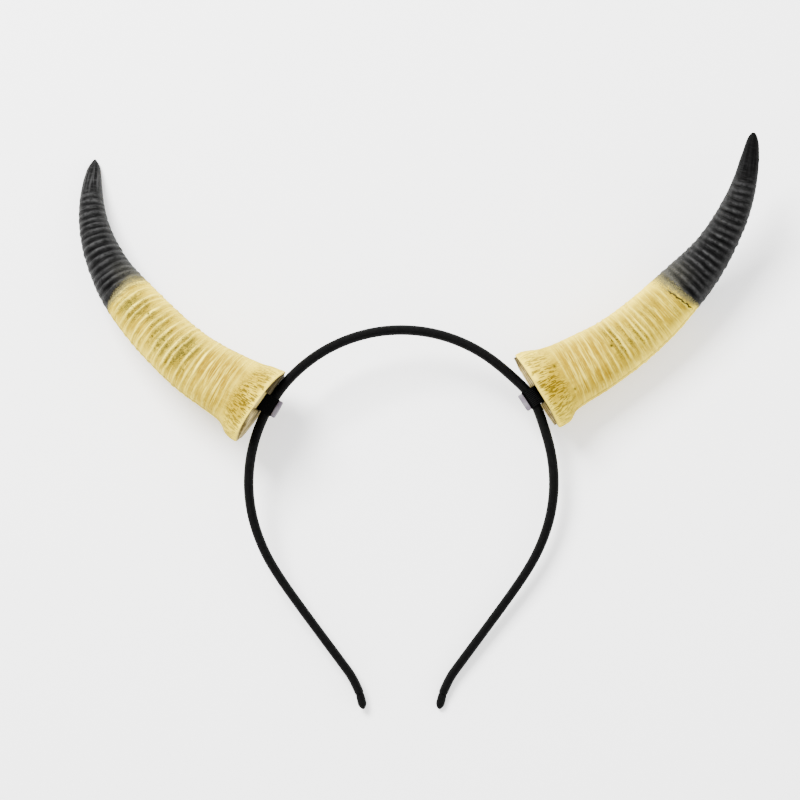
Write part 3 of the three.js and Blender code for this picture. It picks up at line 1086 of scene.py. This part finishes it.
@dataclass
class Horn:
    """A ringed foam horn with a flared, wrinkled root and a black tip."""

    hoop: Hoop
    seat: Seat
    at: Matrix
    paint: Paint
    grime: float
    # strength of the grey dust on the black paint and of its painted reflection at the sides
    dust_and_reflection: float
    black_at: float
    black_slant: float
    seed: int
    # place along the horn, and how far its middle line stands aside there, in millimetres
    aside: tuple[tuple[float, float], ...]
    pits: tuple[Pit, ...] = ()
    cracked: bool = False
    nub: float = 0.0
    # the same strength at the very tip, which also sets its dry-brushed streaks
    tip_dust_and_reflection: float = 0.15
    calm: float = 0.0
    length: float = 151.0 * MM
    root_radius: float = 17.8 * MM
    flatness: float = 0.96
    slant_reach: float = 0.06
    lip_roll: float = 1.3 * MM
    lip_flare: float = 1.7 * MM
    rings_from: float = 11.0 * MM
    rings_to: float = 131.0 * MM
    levels: int = 3
    sides: int = 18
    line_points: int = 601
    smoothing: int = 30
    # what makes up for the girth that smoothing takes
    fuller: float = 1.008
    face_shares: tuple[float, ...] = (0.30, 0.62, 0.90, 0.985)
    ring_gap: Span = (2.3 * MM, 4.9 * MM)
    black_ring_gap: Span = (2.7 * MM, 3.8 * MM)
    # height of the strongest rings in cream and in black
    ring_height: Span = (0.40 * MM, 0.62 * MM)
    # along the horn, where something sets in and where it fades out again
    fringe_zone: tuple[Span, Span] = ((0.2 * MM, 1.2 * MM), (6.0 * MM, 12.5 * MM))
    wrinkle_zone: tuple[Span, Span] = ((2 * MM, 5 * MM), (12 * MM, 19 * MM))
    wash_zone: tuple[Span, Span] = ((3 * MM, 6 * MM), (26 * MM, 40 * MM))
    grime_zone: tuple[Span, Span] = ((24 * MM, 38 * MM), (72 * MM, 78 * MM))
    seam_from: Span = (4 * MM, 9 * MM)
    ringed_from: Span = (9 * MM, 15 * MM)
    calm_from: Span = (54 * MM, 62 * MM)
    crack_at: float = 71.5 * MM
    fringe_depth: float = 0.15 * MM
    crack_depth: float = 0.45 * MM
    seam_depth: float = 0.12 * MM
    pit_depth: float = 0.4 * MM
    wrinkle_depth: float = 0.3 * MM
    streak_depth: float = 0.12 * MM
    # place along the horn, heading in degrees, girth, and strength of the rings
    rows: tuple[tuple[float, float, float, float], ...] = (
        (0.0, 0, 1.04, 0), (0.012, -1, 1.03, 0), (0.05, -4, 0.9, 0), (0.1, -5, 0.84, 0.3),
        (0.18, -2, 0.795, 0.7), (0.3, 7, 0.735, 0.9), (0.42, 13, 0.685, 1), (0.52, 18, 0.615, 1),
        (0.64, 28.5, 0.49, 1.2), (0.76, 40.5, 0.385, 1), (0.88, 51, 0.285, 0.3), (0.95, 54, 0.20, 0),
        (0.985, 55, 0.125, 0), (1.0, 55, 0.045, 0),
    )
    rng: random.Random = field(init=False)

    def __post_init__(self) -> None:
        """Starts this horn's own run of chance."""
        self.rng = random.Random(self.seed)

    def table(self, column: int, shares: np.ndarray) -> np.ndarray:
        """Reads a smooth curve through one column of the rows.

        Args:
            column: The column's number.
            shares: Places along the horn, from 0 to 1.

        Returns:
            The curve's value at each place.
        """
        x = np.array([row[0] for row in self.rows])
        y = np.array([row[column] for row in self.rows], float)
        slopes = np.diff(y) / np.diff(x)
        tangents = np.r_[slopes[0], (slopes[:-1] + slopes[1:]) / 2, slopes[-1]]
        k = np.clip(np.searchsorted(x, shares, "right") - 1, 0, len(x) - 2)
        width = x[k + 1] - x[k]
        p = (shares - x[k]) / width
        near = (2 * p**3 - 3 * p**2 + 1) * y[k] + (p**3 - 2 * p**2 + p) * width * tangents[k]
        return near + (3 * p**2 - 2 * p**3) * y[k + 1] + (p**3 - p**2) * width * tangents[k + 1]

    def line(self) -> tuple[np.ndarray, np.ndarray]:
        """Draws the horn's middle line in its own frame.

        Returns:
            Points on the line, and its heading at each in radians.
        """
        shares = np.linspace(0.0, 1.0, self.line_points)
        between = np.radians(self.table(1, (shares[1:] + shares[:-1]) / 2))
        steps = np.c_[np.cos(between), np.sin(between)] * self.length / len(between)
        points = np.r_[[[0.0, 0.0]], np.cumsum(steps, axis=0)]
        headings = np.radians(self.table(1, shares))
        width = 2 * self.smoothing + 1
        stand = np.pad(np.interp(shares, *np.array(self.aside).T) * MM, self.smoothing, mode="edge")
        stand = np.convolve(stand, np.ones(width) / width, mode="valid")
        return points + stand[:, None] * np.c_[-np.sin(headings), np.cos(headings)], headings

    def cage(self) -> bpy.types.Object:
        """Draws the horn's plain form out of a disc at its root.

        Returns:
            The plain horn, in its own frame.
        """
        shares = np.r_[0.0, 0.006, 0.014, 0.03, np.linspace(0.045, 0.96, 56), 0.975, 0.987, 0.995, 1.0]
        points, _ = self.line()
        line_shares = np.linspace(0.0, 1.0, len(points))
        xs, ys = (np.interp(shares, line_shares, points[:, k]) for k in (0, 1))
        headings, girths = self.table(1, shares), self.table(2, shares) * self.root_radius
        face = [Section(0.0, 0.0, 0.0, float(girths[0]) * share) for share in self.face_shares]
        body = [
            Section(float(x), float(y), float(heading), float(girth) * self.fuller)
            for x, y, heading, girth in zip(xs, ys, headings, girths)
        ]
        if self.nub:
            end, way = body[-1], math.radians(body[-1].heading)
            x, y = end.x + self.nub * math.cos(way), end.y + self.nub * math.sin(way)
            body.append(Section(x, y, end.heading, 0.2 * MM))
        obj = draw_out([*face, *body], self.sides)
        reshape(obj, corners(obj) * (1.0, 1.0, self.flatness))
        modify(obj, "SUBSURF", levels=self.levels, render_levels=self.levels)
        return obj

    def ring_lines(self) -> list[tuple[float, float]]:
        """Spaces the rings unevenly along the horn.

        Returns:
            Their distances from the root, each with its strength.
        """
        lines = []
        at = self.rings_from
        while at < self.rings_to:
            lines.append((at, self.rng.uniform(0.55, 1.0)))
            at += self.rng.uniform(*(self.black_ring_gap if at > self.black_at else self.ring_gap))
        return lines

    def rings(self, skin: Skin) -> tuple[np.ndarray, np.ndarray, np.ndarray]:
        """Works out the rings round the horn.

        Args:
            skin: The horn's vertices.

        Returns:
            The height of the rings, how far each vertex is on a crest, and how far in a groove.
        """
        along, around = skin.along, skin.around
        wavy = along + 0.55 * MM * skin.cloud(11 * MM, 0) + 0.3 * MM * skin.cloud(3.5 * MM, 1)
        black = ease(self.black_at - 3 * MM, self.black_at + 3 * MM, along)
        patches = skin.cloud(7 * MM, 2)
        height, crest, groove = (np.zeros(len(along)) for _ in range(3))
        for line, strength in self.ring_lines():
            lead = self.rng.uniform(-0.4, 0.4) * MM
            aside = math.radians(self.rng.uniform(-50, 50))
            offset = wavy - line - lead * np.sin(around)
            first, second = self.rng.uniform(0, 2 * math.pi), self.rng.uniform(0, 2 * math.pi)
            local = 0.45 * patches + 0.3 * np.sin(3 * around + first) + 0.2 * np.sin(7 * around + second)
            extent = np.clip(0.60 + 0.35 * np.cos(around - aside) + 0.5 * local, 0.06, 1.0) * strength
            ridge = hump(offset, 0.0, (self.rng.uniform(0.36, 0.52) + 0.42 * black) * MM)
            hollow = hump(offset, -(1.25 + 0.35 * black) * MM, (0.75 + 0.1 * black) * MM)
            height += extent * (ridge - 0.55 * hollow)
            crest = np.maximum(crest, ridge * extent)
            groove = np.maximum(groove, hollow * extent)
        calm, calmed = self.calm * (1 - black), ease(*self.calm_from, along)
        side = black * np.sin(around) ** 2
        relief = self.table(3, np.clip(along / self.length, 0.0, 1.0)) * (1 - calm * calmed)
        size = np.interp(black, (0, 1), self.ring_height) * (1 - 0.55 * side)
        front = hump(around, math.radians(10), math.radians(68))
        drawn = np.clip(relief + 0.3, 0, 1) * (1 - 0.5 * side) * (1 - calm * (0.35 + 0.5 * calmed))
        drawn *= front + (1 - front) * (0.35 + 0.65 * black)
        return height * relief * size, crest * drawn, groove * np.clip(relief, 0, 1) * (1 - 0.6 * side)

    def fringe(self, skin: Skin) -> np.ndarray:
        """Works out where short dark dashes run up from the root's lip.

        Args:
            skin: The horn's vertices.

        Returns:
            How strong they are at each vertex.
        """
        rise, fall = self.fringe_zone
        ragged = 1.6 * MM * skin.cloud(5 * MM, 4)
        begins = ease(*rise, skin.along + 0.3 * ragged)
        ends = 1 - ease(*fall, skin.along + 2 * ragged)
        return begins * ends * (0.45 + 0.55 * np.cos(skin.around) ** 2)

    def crack(self, skin: Skin) -> np.ndarray:
        """Draws a fine crack just short of the black tip of a cracked horn.

        Args:
            skin: The horn's vertices.

        Returns:
            How far each vertex is from the crack, in millimetres, and at most 3.
        """
        if not self.cracked:
            return np.full(len(skin.along), 3.0)
        around = skin.around
        wavy = 0.2 * np.sin(19 * around) + 0.12 * np.sin(47 * around + 1) - 1.7 * np.sin(around)
        off = (skin.along - self.crack_at) / MM - wavy
        beyond = ease(0.5, 1.0, np.abs(around + 0.25))
        return np.clip(off + 2 * beyond * np.sign(off), -3, 3)

    def seam(self, skin: Skin) -> np.ndarray:
        """Draws the mould's parting line along the horn's two edges.

        Args:
            skin: The horn's vertices.

        Returns:
            How far each vertex is on the line.
        """
        lower = hump(skin.around, math.radians(-70), 0.045)
        upper = hump(skin.around, math.radians(88), 0.022)
        ends = within(skin.along, self.seam_from, (self.black_at, self.black_at + 12 * MM))
        return (lower + 0.7 * upper) * ends

    def pitted(self, skin: Skin) -> np.ndarray:
        """Finds the horn's small dents.

        Args:
            skin: The horn's vertices.

        Returns:
            How deep in a dent each vertex is.
        """
        spot = np.zeros(len(skin.along))
        for pit in self.pits:
            radius = self.root_radius * float(self.table(2, np.array([pit.along / self.length]))[0])
            aside = radius * (skin.around - math.radians(pit.around))
            spot = np.maximum(spot, np.exp(-((skin.along - pit.along) ** 2 + aside**2) / pit.width**2))
        return spot

    def unevenness(self, skin: Skin) -> np.ndarray:
        """Works out the lumps, the fuller lip, the wrinkles at the root and the streaks at the tip.

        Args:
            skin: The horn's vertices.

        Returns:
            The height of each vertex over the plain form.
        """
        along, around = skin.along, skin.around
        girth = self.root_radius / (2.2 * MM)
        rolled = np.c_[girth * np.cos(around), girth * np.sin(around), along / (14 * MM)]
        lip = 1 - ease(1 * MM, 7 * MM, along)
        height = 0.28 * MM * skin.cloud(16 * MM, 6) + 0.10 * MM * skin.cloud(2.6 * MM, 7)
        height += lip * MM * (0.45 * skin.cloud(8 * MM, 8) + 0.18 * skin.cloud(2.5 * MM, 9))
        height += self.lip_flare * hump(along, 5.0 * MM, 4.5 * MM) * np.clip(-np.sin(around), 0, 1) ** 2
        height += self.wrinkle_depth * cloud(rolled, 1.0, self.seed + 10) * within(along, *self.wrinkle_zone)
        streaks = cloud(rolled * (2.0, 2.0, 1.0), 1.0, self.seed + 11)
        return height + self.streak_depth * streaks * ease(0.84 * self.length, 0.92 * self.length, along)

    def dirt(self, skin: Skin, crest: np.ndarray, groove: np.ndarray) -> tuple[np.ndarray, np.ndarray]:
        """Works out where the cream paint is washed darker, and where it is dirty.

        Args:
            skin: The horn's vertices.
            crest: How far each vertex is on a crest.
            groove: How far it is in a groove.

        Returns:
            The strength of the wash, and that of the grime.
        """
        along, around = skin.along, skin.around
        patches = 0.5 + 0.5 * skin.cloud(6 * MM, 12)
        wash = within(along, *self.wash_zone) * (0.30 + 0.70 * hump(around, 0.0, math.radians(62)))
        wash *= np.clip(0.25 + 0.9 * patches, 0, 1) * (1 - 0.7 * crest)
        wash *= 0.45 + 0.55 * ease(*self.ringed_from, along)
        patches = 0.5 + 0.5 * skin.cloud(9 * MM, 13)
        grime = within(along, *self.grime_zone) * hump(around, math.radians(6), math.radians(42))
        grime *= np.clip(-0.15 + 1.2 * patches, 0, 1)
        return 0.85 * wash, np.clip(grime * (0.35 + 0.65 * groove) * self.grime, 0, 0.95)

    def carve(self, obj: bpy.types.Object) -> None:
        """Moves the plain horn's skin into its rings, wrinkles and dents, and marks them for the paint.

        Args:
            obj: The plain horn, in its own frame.
        """
        front = (self.hoop.root_frame(self.seat).inverted() @ Vector((0.0, 0.0, 1.0, 0.0))).to_3d()
        places = corners(obj)
        skin = Skin(places, *Track(*self.line()).locate(places, front), self.seed)
        along, inward = skin.along, np.sin(skin.around)
        height, crest, groove = self.rings(skin)
        fringe, crack, seam, spot = self.fringe(skin), self.crack(skin), self.seam(skin), self.pitted(skin)
        height -= self.fringe_depth * fringe + self.crack_depth * hump(crack, 0.0, 0.4)
        height -= self.seam_depth * seam + self.pit_depth * spot
        height += self.unevenness(skin)

        wash, grime = self.dirt(skin, crest, groove)
        tip = ease(0.84 * self.length, 0.93 * self.length, along)
        tone = (along - self.black_at + self.black_slant * inward) / ((1.9 + 1.1 * inward) * MM)
        tone += 0.5 * skin.cloud(5 * MM, 5)
        marks = {
            "worn": within(along, self.ringed_from, (self.black_at - 2 * MM, self.black_at)),
            # strength of the black's grey dust and of its painted reflection at the sides
            "dust_and_reflection": self.dust_and_reflection * (1 - tip) + self.tip_dust_and_reflection * tip,
            "tip": self.tip_dust_and_reflection * tip,
            "haze": 0.9 * hump(along, self.black_at + 2 * MM, 7 * MM) * ease(-0.3, 0.9, inward),
            "lip": 0.6 * (1 - ease(0.8 * MM, 2.2 * MM, along)),
            "root": 1 - ease(-0.1 * MM, 0.4 * MM, along),
            "mark": np.clip(1.3 * spot + 0.6 * seam * (1 - ease(-1, 1, tone)), 0, 0.95),
            "crest": crest, "groove": groove, "fringe": fringe, "wash": wash, "grime": grime,
            "along": along, "facing": np.cos(skin.around), "inward": inward, "tone": tone, "crack": crack,
        }
        for name, values in marks.items():
            mark(obj, name, values)
        moved = places + outward(obj) * (height * ease(-0.2 * MM, 0.8 * MM, along))[:, None]
        radial = np.hypot(places[:, 1], places[:, 2] / self.flatness) / self.root_radius
        rolled = ease(0.80, 0.98, radial) * (1 - ease(1 * MM, 5 * MM, along))
        moved[:, 0] -= self.lip_roll * rolled * inward**4
        reshape(obj, self.slanted(moved, along))

    def slanted(self, places: np.ndarray, along: np.ndarray) -> np.ndarray:
        """Slants the root's face towards the front, so that it lies along the pad.

        Args:
            places: The horn's vertices.
            along: Their distances from the root.

        Returns:
            The vertices in their new places.
        """
        twist = math.radians(self.seat.side.value * self.seat.twist)
        deep = -math.sin(twist) * places[:, 1] + math.cos(twist) * places[:, 2]
        fade = np.clip(1 - along / (self.slant_reach * self.length), 0, 1) ** 2
        slant = self.seat.side.value * math.tan(math.radians(self.hoop.root_slant))
        places[:, 0] -= slant * deep * fade
        return places

    def make(self) -> None:
        """Builds and dresses the horn."""
        obj = self.cage()
        self.carve(obj)
        horn = place(obj, f"painted_horn_{self.seat.side.word}", self.at @ self.hoop.root_frame(self.seat))
        settled = corners(horn)
        settled[:, 2] = np.maximum(settled[:, 2], 0.0)
        reshape(horn, settled)
        self.paint.dress(horn, "horn_foam")
        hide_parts(f"horn_{self.seat.side.word}")
        report(horn)


@dataclass
class Pad:
    """The layered foam disc under a horn, with a channel to the front through which its loop passes."""

    hoop: Hoop
    seat: Seat
    at: Matrix
    paint: Paint
    rim: tuple[float, float] = (17.0 * MM, 17.4 * MM)
    slit: float = 3.9 * MM
    channel: float = 4.25 * MM
    points: int = 150
    rim_points: int = 160
    slit_points: int = 24
    unevenness: float = 0.22 * MM
    # share of the thickness from the horn's side, and how far the edge stands back there in millimetres
    levels: tuple[tuple[float, float], ...] = (
        (0.0, 0.0), (0.26, 0.0), (0.31, 0.3), (0.36, 0.0), (0.60, 0.05), (0.65, 0.4), (0.70, 0.0), (1.0, 0.0),
    )

    def outline(self) -> np.ndarray:
        """Draws the pad's outline: a disc with a channel for the loop, open towards the front.

        Returns:
            Evenly spaced points round it.
        """
        width, deep = self.rim
        middle = -self.seat.shift
        start = math.acos((middle + self.channel) / width)
        end = math.acos((middle - self.channel) / width) - 2 * math.pi
        turns = np.linspace(start, end, self.rim_points)
        rim = np.c_[width * np.cos(turns), deep * np.sin(turns)]
        back = np.linspace(math.pi, 0.0, self.slit_points)
        slit = np.c_[middle + self.channel * np.cos(back), -self.slit * np.sin(back) ** 0.5]
        return spaced(np.r_[rim, slit, rim[:1]], self.points, closed=True) * (1, self.seat.side.value)

    def build(self) -> bpy.types.Object:
        """Extrudes the outline in layers, sets the edge back between them and rounds the rims.

        Returns:
            The pad, with its thickness along Z.
        """
        deselect()
        bpy.ops.mesh.primitive_circle_add(vertices=self.points, radius=1.0, fill_type="NGON")
        obj = bpy.context.object
        settle(obj)
        turned = corners(obj)
        order = np.argsort(np.arctan2(turned[:, 1], turned[:, 0]))
        outline = self.outline()
        if np.cross(outline[1] - outline[0], outline[2] - outline[0]) < 0:
            outline = outline[::-1]
        turned[order, :2] = outline
        reshape(obj, turned)
        bpy.ops.object.mode_set(mode="EDIT")
        bpy.ops.mesh.select_all(action="SELECT")
        for (before, _), (after, _) in zip(self.levels, self.levels[1:]):
            step = (0.0, 0.0, -self.seat.pad * (after - before))
            bpy.ops.mesh.extrude_region_move(TRANSFORM_OT_translate={"value": step})
        bpy.ops.object.mode_set(mode="OBJECT")
        close_up(obj)
        places, normals = corners(obj), outward(obj)
        for share, back in self.levels[1:-1]:
            level = np.abs(places[:, 2] + self.seat.pad * share) < 0.01 * self.seat.pad
            places[level] -= normals[level] * back * MM
        reshape(obj, places)
        sharp = math.radians(60)
        modify(obj, "BEVEL", width=0.3 * MM, segments=3, limit_method="ANGLE", angle_limit=sharp)
        self.soften(obj)
        return obj

    def soften(self, obj: bpy.types.Object) -> None:
        """Makes the foam's edge uneven, slants the disc and marks its layers and its painted shadow.

        Args:
            obj: The pad, with its thickness along Z.
        """
        side = self.seat.side
        places = corners(obj)
        beside = (np.abs(places[:, 0] + self.seat.shift) - self.channel) / MM
        edge = ease(0.86, 0.95, np.hypot(places[:, 0] / self.rim[0], places[:, 1] / self.rim[1]))
        edge = np.maximum(edge, (beside < 0.5).astype(float))
        mark(obj, "depth", -places[:, 2] / self.seat.pad)
        # painted shadow: darker beside the loop's channel and towards one end of the disc
        shadow_from, strength = (self.channel, 0.95) if side is Side.LEFT else (12.0 * MM, 0.7)
        painted_shadow = strength * ease(shadow_from, shadow_from + 2 * MM, places[:, 0])
        mark(obj, "painted_shadow", np.maximum(0.75 * hump(np.clip(beside, 0, None), 0.0, 1.6), painted_shadow))
        uneven = self.unevenness * cloud(places, 4 * MM, 40 + side.value)
        places += outward(obj) * (edge * uneven)[:, None]
        places[:, 2] -= side.value * math.tan(math.radians(self.hoop.root_slant)) * places[:, 1]
        reshape(obj, places)

    def make(self) -> None:
        """Builds and dresses the pad."""
        untwist = turn(self.seat.side.value * self.seat.twist, "X")
        lay_back = Matrix(((0, 0, 1, 0), (1, 0, 0, 0), (0, 1, 0, 0), (0, 0, 0, 1)))
        behind = Matrix.Translation((-self.hoop.fit, 0.0, 0.0))
        at = self.at @ self.hoop.root_frame(self.seat) @ behind @ untwist @ lay_back
        pad = place(self.build(), f"foam_pad_{self.seat.side.word}", at, 80.0)
        self.paint.dress(pad, "pad_foam")
        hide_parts(f"base_pad_{self.seat.side.word}")
        report(pad)


@dataclass
class LoopAndKeeper:
    """The elastic loop that holds a horn on the band, and the felt patch on the head's side of it."""

    hoop: Hoop
    seat: Seat
    at: Matrix
    elastic: Paint
    felt: Paint
    into_horn: float
    keeper_size: tuple[float, float, float] = (2.1 * MM, 7.8 * MM, 5.4 * MM)
    keeper_hold: float = 0.15 * MM
    keeper_corner: float = 0.6 * MM
    # how much narrower the loop is at the horn, as a share of its width
    pinch: float = 0.05

    def seat_frame(self) -> Matrix:
        """The seat's frame in the row frame."""
        return self.at @ self.hoop.seat_frame(self.seat)

    def build_loop(self) -> bpy.types.Object:
        """Opens a block into a thin loop with round corners and gives it its thickness.

        Returns:
            The loop, in its seat's frame.
        """
        head, end, _ = self.hoop.places(self.seat)
        end += self.into_horn
        thin = self.hoop.strap_thickness
        depth = self.hoop.depth + 2 * self.hoop.fit + thin
        deselect()
        bpy.ops.mesh.primitive_cube_add(size=1.0, location=((head + end) / 2, 0.0, 0.0))
        obj = bpy.context.object
        obj.scale = (end - head - thin, self.hoop.strap_width, depth)
        settle(obj)
        pick(obj, "FACE", lambda face: abs(face.normal.y) > 0.9)
        bpy.ops.mesh.delete(type="ONLY_FACE")
        bpy.ops.object.mode_set(mode="OBJECT")
        points = corners(obj)
        pick(obj, "EDGE", lambda edge: abs(np.subtract(*points[list(edge.vertices)])[1]) > MM)
        bpy.ops.mesh.bevel(offset=self.hoop.strap_corner, segments=7, affect="EDGES")
        bpy.ops.mesh.select_all(action="SELECT")
        bpy.ops.mesh.subdivide(number_cuts=5)
        bpy.ops.object.mode_set(mode="OBJECT")
        close_up(obj)
        modify(obj, "SOLIDIFY", thickness=thin, offset=0.0)
        sharp = math.radians(50)
        modify(obj, "BEVEL", width=0.12 * MM, segments=2, limit_method="ANGLE", angle_limit=sharp)
        places = corners(obj)
        mark(obj, "across", places[:, 1])
        places[:, 1] *= 1 - self.pinch * ease(0.0, end, places[:, 0])
        reshape(obj, places)
        return obj

    def build_keeper(self) -> bpy.types.Object:
        """Rounds a small block into a soft patch of felt.

        Returns:
            The patch, in its seat's frame.
        """
        head, _, _ = self.hoop.places(self.seat)
        thick, length, depth = self.keeper_size
        middle = head + self.keeper_hold - thick / 2
        deselect()
        bpy.ops.mesh.primitive_cube_add(size=1.0, location=(middle, 0.0, 0.0))
        obj = bpy.context.object
        obj.scale = (thick, length, depth)
        settle(obj)
        modify(obj, "BEVEL", width=self.keeper_corner, segments=3)
        close_up(obj)
        modify(obj, "SUBSURF", levels=2, render_levels=2)
        places = corners(obj)
        worn = 0.10 * MM * cloud(places, 1.5 * MM, 60 + self.seat.side.value)
        reshape(obj, places + outward(obj) * worn[:, None])
        return obj

    def make(self) -> None:
        """Builds and dresses the loop and its keeper."""
        word = self.seat.side.word
        loop = place(self.build_loop(), f"elastic_loop_{word}", self.seat_frame(), 40.0)
        self.elastic.dress(loop, "loop_elastic")
        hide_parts(f"strap_loop_{word}")
        report(loop)
        keeper = place(self.build_keeper(), f"felt_keeper_{word}", self.seat_frame(), 60.0)
        self.felt.dress(keeper, "keeper_felt")
        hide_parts(f"keeper_{word}")
        report(keeper)


@dataclass(frozen=True)
class Lamp:
    """A square soft light: its name, its place in the hoop's frame, its side and its power in watts."""

    name: str
    place: tuple[float, float, float]
    size: float
    power: float


@dataclass
class Studio:
    """The pale floor, the soft lights and the camera."""

    at: Matrix
    camera_place: tuple[float, float, float] = (-0.54 * MM, 35.6 * MM, 960.0 * MM)
    lens: float = 100.2
    sensor: float = 36.0
    lamps: tuple[Lamp, ...] = (
        Lamp("key_light", (-0.55, 0.85, 0.95), 0.6, 72.0),
        Lamp("fill_light", (0.8, -0.1, 1.0), 1.2, 12.0),
    )
    floor_size: float = 6.0
    floor_colour: Colour = (0.85, 0.85, 0.85)
    floor_glow: float = 0.45
    sky: float = 1.75

    def build_floor(self) -> None:
        """Lays a plain floor under the headband."""
        deselect()
        bpy.ops.mesh.primitive_plane_add(size=self.floor_size)
        floor = bpy.context.object
        floor.name = floor.data.name = "floor"
        paint = Paint("floor_paper", roughness=0.9, specular=0.1)
        paint.colour(self.floor_colour)
        paint.shader.inputs["Emission Color"].default_value = (1.0, 1.0, 1.0, 1.0)
        paint.shader.inputs["Emission Strength"].default_value = self.floor_glow
        floor.data.materials.append(paint.material)

    def light(self, plan: Lamp) -> None:
        """Hangs one light that looks at the headband.

        Args:
            plan: What it is like.
        """
        deselect()
        bpy.ops.object.light_add(type="AREA", location=self.at @ Vector(plan.place))
        lamp = bpy.context.object
        lamp.name = lamp.data.name = plan.name
        lamp.data.size, lamp.data.energy = plan.size, plan.power
        lamp.rotation_euler = (self.at.translation - lamp.location).to_track_quat("-Z", "Y").to_euler()

    def build_camera(self) -> None:
        """Sets the camera up square to the hoop."""
        deselect()
        bpy.ops.object.camera_add()
        camera = bpy.context.object
        camera.name = camera.data.name = "camera"
        camera.data.lens, camera.data.sensor_width = self.lens, self.sensor
        camera.matrix_world = self.at @ Matrix.Translation(self.camera_place)
        bpy.context.scene.camera = camera

    def make(self) -> None:
        """Builds the floor, the lights, the sky and the camera."""
        self.build_floor()
        for lamp in self.lamps:
            self.light(lamp)
        world = bpy.data.worlds.new("sky")
        world.use_nodes = True
        background = world.node_tree.nodes["Background"]
        background.inputs["Color"].default_value = (1.0, 1.0, 1.0, 1.0)
        background.inputs["Strength"].default_value = self.sky
        bpy.context.scene.world = world
        self.build_camera()


def report(obj: bpy.types.Object) -> None:
    """Logs a finished piece and its number of faces."""
    log.info("%s: %d faces", obj.name, len(obj.data.polygons))


def main() -> None:
    """Builds the headband piece by piece and sets up its studio."""
    logging.basicConfig(level=logging.INFO, format="%(message)s")
    hoop = Hoop()
    at = HoopFrame.found(hoop.radius + hoop.thickness / 2).matrix
    Band(hoop, at).make()
    horn_paint, pad_paint = HornFinish().paint(), PadFinish().paint()
    elastic, felt = ElasticFinish().paint(), FeltFinish().paint()
    right, left = hoop.seats
    Horn(
        hoop, right, at, horn_paint,
        grime=1.9,
        dust_and_reflection=0.85,
        black_at=74.0 * MM,
        black_slant=1.8 * MM,
        seed=11,
        aside=(
            (0.0, -0.3), (0.06, -0.8), (0.2, -0.8), (0.35, -0.6), (0.5, 0.0), (0.62, -0.3), (0.75, -0.7),
            (0.88, -0.9), (0.96, -0.7), (1.0, 0.0),
        ),
        pits=(Pit(8.5 * MM, 24.0, 0.5 * MM), Pit(11.9 * MM, -27.0, 0.5 * MM), Pit(35.2 * MM, 9.0, 0.6 * MM)),
        cracked=True,
        calm=0.6,
    ).make()
    Horn(
        hoop, left, at, horn_paint,
        grime=3.2,
        dust_and_reflection=1.0,
        black_at=78.0 * MM,
        black_slant=-1.4 * MM,
        seed=31,
        aside=((0.0, 0.0), (0.5, 0.1), (0.8, 0.15), (0.92, 0.45), (1.0, 1.2)),
        pits=(
            Pit(52.0 * MM, -12.0, 0.45 * MM), Pit(60.5 * MM, 14.0, 0.5 * MM), Pit(33.0 * MM, -20.0, 0.4 * MM),
        ),
        nub=0.9 * MM,
        tip_dust_and_reflection=1.0,
    ).make()
    for seat, into_horn in zip(hoop.seats, (0.4 * MM, 3.0 * MM)):
        Pad(hoop, seat, at, pad_paint).make()
        LoopAndKeeper(hoop, seat, at, elastic, felt, into_horn).make()
    Studio(at).make()


if __name__ == "__main__":
    main()
